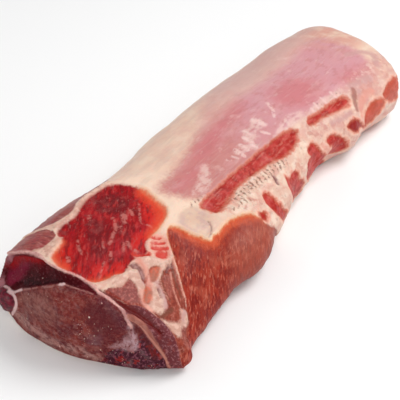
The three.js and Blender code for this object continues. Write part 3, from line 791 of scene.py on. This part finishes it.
def paintUpper(meat, eye):
    # the wet muscle above the eye muscle: dark red of its own, darkened further as painted shade of the
    # hollow under the lip, darkest as painted shadow in its middle, with painted highlights on its bulge and
    # rim to the left
    meat.upper = fineEdge("upper", -0.3, 0.3, 0.5)
    # dark muscle, with painted shadow deepest in the middle of the hollow
    upper = Paint(edge("hollowShade", -5, 5, 1.5).over("upper", "hollowShadow"))
    upper.lay(edge("upperWine", -3, 3, 1.5), "upperWine")
    # painted highlight: red where the muscle bulges on the left
    upper.lay(edge("upperRedHighlight", -3, 3, 1.5), "upperRedHighlight")
    upper.lay(cloud((3, 3, 5), 66).rise(0.52, 0.68) * 0.4, (0.19, 0.02, 0.03))
    upper.lay(cloud(1.6, 71, 2).rise(0.6, 0.68) * 0.4, (0.36, 0.12, 0.14))
    # painted highlight along the left rim
    upper.lay(edge("upperRimHighlight", -1.5, 2) * 0.7, (0.62, 0.26, 0.29))
    eye.lay(meat.upper, upper.colour)


def paintCut(meat):
    # the cut end: its muscles, the lobe on the left, the rough lower corner, the knuckle and the seams
    eye = paintEye(meat)
    paintUpper(meat, eye)
    eye.lay(fineEdge("lobe", -0.3, 0.3, 0.5), cloud(4, 67).rise(0.4, 0.6).over("lobe", (0.08, 0.006, 0.016)))
    outline = edge("lower", -0.8, 1, 1.2)
    lower = Paint(cloud(2.2, 69).rise(0.5, 0.62).over("lower", (0.22, 0.06, 0.085)))
    lower.lay(cloud(7, 70, 2).rise(0.54, 0.62) * 0.75, (0.34, 0.014, 0.01))
    eye.lay(outline, lower.colour)
    eye.lay(edge("darkWedge", -1.5, 1.5) * 0.8, (0.11, 0.01, 0.012))
    knuckle = edge("knuckle", -2.4, 2.4, 1.8) * cloud((2.2, 2.2, 3), 72).rise(0.26, 0.52) * 0.85
    eye.lay(knuckle, cloud(5, 74).rise(0.4, 0.6).over("knuckle", (0.4, 0.2, 0.21)))
    seamFaint = fineEdge("seamFaint", -0.7, 0.3, 0.7) * cloud(6, 68).rise(0.34, 0.54)
    eye.lay(seamFaint * 0.8, "seamFaint")
    eye.lay(fineEdge("seamBright", -0.6, 0.5, 0.7) * 0.85, "seam")
    meat.onCut = fineEdge("cut", -0.4, 0.4, 0.3)
    meat.lay(meat.onCut, eye.colour)


def paintFlap(meat):
    # the flap folded over the right of the cut, with its groove and its pale strip, and the lip along the top
    meat.flap = fineEdge("flap", -0.4, 0.5, 0.6)
    flap = Paint((cloud(2.3, 71).rise(0.52, 0.62) * 0.6).over("flap", (0.44, 0.17, 0.18)))
    flap.lay(cloud(5, 76).rise(0.54, 0.66) * 0.6, (0.3, 0.04, 0.034))
    flap.lay(fineEdge("groove", -1, 1.4), "groove")
    outline = fineEdge("strip", -0.7, 0.9)
    strip = Paint(cloud((3, 3, 9), 73).rise(0.4, 0.6).over("strip", (0.46, 0.17, 0.13)))
    strip.lay((depth("cut") + 0.8 + fineWander).size().rise(1.4, 0.4) * 0.8, "stripEdge")
    flap.lay(outline, strip.colour)
    meat.lay(meat.flap, flap.colour)
    lip = fineEdge("lip", -0.6, 0.7, 0.9) * 0.9
    meat.lay(lip, cloud(4, 78).rise(0.38, 0.6).over("lip", (0.66, 0.32, 0.3)))


def paintFrost(meat):
    # a fine bloom on the lean and a haze of ice on the cut
    meat.lean = meat.rump.larger(meat.flank).larger(meat.onCut).larger(meat.flap)
    meat.bloom = cloud(0.8, 75, 2).rise(0.66, 0.74) * (0.16 + meat.lean * 0.1 - meat.rump * 0.16)
    meat.bloom = meat.bloom * (1 - meat.onCut * meat.upper)
    meat.lay(meat.bloom, "frost")
    hazy = meat.onCut * (1 - meat.upper) * meat.calm
    meat.haze = hazy * cloud((9, 9, 7), 77, 4).rise(0.5, 0.75) * 0.16
    meat.lay(meat.haze, "frost")


def meatHeight(meat):
    # fibres, pores and wrinkles, in millimetres
    height = (cloud(1.1, 81) - 0.5) * 0.1 + (cloud((1.6, 9, 1.6), 83) - 0.5) * 0.12
    height = height + meat.flank * (cloud((40, 1.1, 40), 85) - 0.5) * 0.5
    height = height + meat.rump * ((cloud((1.8, 6, 3), 87) - 0.5) * 0.7 + meat.streaks * 0.25)
    height = height + meat.onCut.larger(meat.flap) * (cloud(1.6, 89, 4) - 0.5) * 0.7
    height = height + meat.ribSide * (meat.mottle - 0.5) * 1.2 + meat.teeth * 0.3 - meat.marks * 0.35
    return height + meat.fat * 0.15 + meat.skinThreads * 0.2


def paintMeat():
    meat = Paint()
    layers = (paintSkin, paintRibSide, paintPaleSkin, paintMarks, paintRump, paintFlank, paintPurple,
              paintRed, paintBrown, paintFat, paintFarEnd, paintCut, paintFlap, paintFrost)
    for layer in layers:
        layer(meat)
    height = meatHeight(meat)
    darker = {0: 0.12, 6: meat.colour, 7: (0, 0, 0, 1)}
    shown = dye.node("ShaderNodeMix", {"data_type": "RGBA"}, darker, out=2)
    bump = dye.node("ShaderNodeBump", None, {"Strength": 1, "Distance": mm, "Height": height})
    rough = 0.4 + (cloud(6, 91) - 0.5) * 0.22 + meat.lean * 0.02 + meat.bloom * 0.5 + meat.haze * 0.6
    rough = rough + meat.onCut * 0.08
    coat = 0.12 - meat.rump * 0.08 - meat.flank * 0.06 - meat.onCut * (meat.upper * 0.06 + 0.06)
    coat = coat - meat.haze * 0.4 - meat.bloom * 0.3
    finishMaterial(dye, {
        "Base Color": shown, "Specular IOR Level": 0.12, "Roughness": rough, "Coat Weight": coat,
        "Normal": bump, "Coat Roughness": 0.25, "IOR": 1.42,
        "Subsurface Weight": 0.16, "Subsurface Radius": (1, 0.28, 0.18), "Subsurface Scale": 0.004,
    })
    print("meat painted")


icePiece = {
    "count": 90, "smallest": 0.2, "largest": 0.42, "largerShare": 0.15, "larger": 1.6, "seed": 7,
    "cluster": (12, 25), "clusterReach": (7, 8),  # right and up on the cut, in millimetres
    "strayShare": 0.05, "lowerShare": 0.3, "upperShare": 0.25, "inFromRim": 2.5,
    "width": (0.5, 0.8), "length": (1, 2.6), "thickness": 0.6, "scatter": 0.8, "lift": 0.1,
    # the larger chips: right, up and radius
    "chips": [(17, 35, 0.8), (-7, 16, 0.75), (27, 47, 0.6), (24, 9, 0.65), (-37, 30, 0.65)],
    "chipForm": (1, 1.4, 0.5),
    "pores": 240, "dark": (0.52, 0.3, 0.24), "pale": (0.74, 0.55, 0.47),
}


def insideBox(spots):
    # Whether ice at each spot stays behind the front of the solid's box.
    return spots[:, 1] > cadBox[0][1] + 2 * mm


def strewGrains(build, settings, at, depth, spots):
    # Most grains lie low in the eye muscle, and the others all over the cut.
    chance = random.Random(settings["seed"])
    reach = settings["scatter"]
    above = at["cutPlane"][:, 1]
    away = (at["cutPlane"] - settings["cluster"]) / settings["clusterReach"]
    likely = settings["strayShare"] + np.exp(-(away ** 2).sum(axis=1))
    likely += settings["lowerShare"] * (depth["lower"] > 0) * hump(above - 6, 8)
    likely *= (depth["cut"] > settings["inFromRim"]) * insideBox(spots)
    likely *= np.where(depth["upper"] > -1, settings["upperShare"], 1)
    for index in chance.choices(range(len(spots)), weights=likely.tolist(), k=settings["count"]):
        normal = Vector(at["normals"][index])
        across = normal.orthogonal().normalized()
        side = normal.cross(across)
        size = chance.uniform(settings["smallest"], settings["largest"])
        size *= 1 if chance.random() < 1 - settings["largerShare"] else settings["larger"]
        off = across * chance.uniform(-reach, reach) + side * chance.uniform(-reach, reach)
        spot = Vector(spots[index]) + (off + normal * size * settings["lift"]) * mm
        turned = Matrix.Rotation(chance.uniform(0, 6.28), 3, normal)
        width, length = chance.uniform(*settings["width"]), chance.uniform(*settings["length"])
        form = Matrix.LocRotScale(spot, turned, Vector((width, length, settings["thickness"])))
        bmesh.ops.create_icosphere(build, subdivisions=1, radius=size * mm, matrix=form)


def layChips(build, settings, at, depth, spots):
    unfit = (depth["cut"] < 1) | ~insideBox(spots)
    for right, up, size in settings["chips"]:
        away = np.hypot(*(at["cutPlane"] - (right, up)).T)
        index = int(np.argmin(np.where(unfit, np.inf, away)))
        turned = Vector(at["normals"][index]).to_track_quat("Z", "Y")
        form = Matrix.LocRotScale(Vector(spots[index]), turned, Vector(settings["chipForm"]))
        bmesh.ops.create_icosphere(build, subdivisions=1, radius=size * mm, matrix=form)


def makeIce(settings, at, depth, surface):
    # Grains of ice that sit on the cut, and a few larger chips.
    spots = np.empty(len(surface.vertices) * 3)
    surface.vertices.foreach_get("co", spots)
    spots = spots.reshape(-1, 3)
    build = bmesh.new()
    strewGrains(build, settings, at, depth, spots)
    layChips(build, settings, at, depth, spots)
    piece = newObject("iceGrains", build)
    material, ice = newMaterial("ice")
    places = ice.node("ShaderNodeTexCoord", out=3)
    tint = ice.node("ShaderNodeTexNoise", None, {"Vector": places, "Scale": settings["pores"], "Detail": 1})
    finishMaterial(ice, {
        "Base Color": tint.rise(0.35, 0.65).over(settings["dark"], settings["pale"]), "IOR": 1.31,
        "Roughness": tint * 0.2 + 0.2, "Subsurface Weight": 0.4, "Subsurface Scale": mm,
    })
    piece.data.materials.append(material)
    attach(piece, "root")
    print("ice grains:", len(piece.data.polygons), "faces")


studio = {
    "key": {"at": (0.55, 0.55, 1.25), "size": 0.9, "power": 15},
    "front": {"at": (0.9, -1.3, 0.9), "size": 1.2, "power": 10.5},
    "left": {"at": (-1.3, -0.3, 0.9), "size": 1.2, "power": 4.6},
    "sky": 0.38, "floor": (0.92, 0.92, 0.92), "floorReach": 6, "floorRoughness": 0.9,
}


def makeLamp(name, settings):
    lamp = bpy.data.lights.new(name, "AREA")
    lamp.shape = "DISK"
    lamp.size = settings["size"]
    lamp.energy = settings["power"]
    holder = bpy.data.objects.new(name, lamp)
    scene.collection.objects.link(holder)
    holder.location = settings["at"]
    holder.rotation_euler = (-Vector(settings["at"])).to_track_quat("-Z", "Y").to_euler()


def makeStudio(settings):
    for name in ("key", "front", "left"):
        makeLamp(name, settings[name])
    scene.world = bpy.data.worlds.new("studio")
    scene.world.use_nodes = True
    sky = scene.world.node_tree.nodes["Background"]
    sky.inputs["Color"].default_value = (1, 1, 1, 1)
    sky.inputs["Strength"].default_value = settings["sky"]
    build = bmesh.new()
    bmesh.ops.create_grid(build, x_segments=1, y_segments=1, size=settings["floorReach"])
    floor = newObject("floor", build)
    material, pale = newMaterial("paleFloor")
    finishMaterial(pale, {"Base Color": (*settings["floor"], 1), "Roughness": settings["floorRoughness"]})
    floor.data.materials.append(material)
    print("studio lit")


def makeCamera(settings):
    data = bpy.data.cameras.new("photoView")
    data.sensor_width = settings["sensor"]
    data.lens = settings["focal"] / settings["frame"] * data.sensor_width
    data.clip_start, data.clip_end = 0.01, 50
    camera = bpy.data.objects.new("photoView", data)
    scene.collection.objects.link(camera)
    back = Vector(towards.tolist())
    camera.location = (Vector(settings["aim"]) + back * settings["distance"]) * mm
    camera.rotation_euler = (-back).to_track_quat("-Z", "Y").to_euler()
    scene.camera = camera
    print("camera placed")


makeCamera(view)
makeStudio(studio)
loin, loinPlaces, loinDepths = makeLoin(loinPiece)
paintMeat()
loin.data.materials.clear()
loin.data.materials.append(meatMaterial)
makeIce(icePiece, loinPlaces, loinDepths, loin.data)
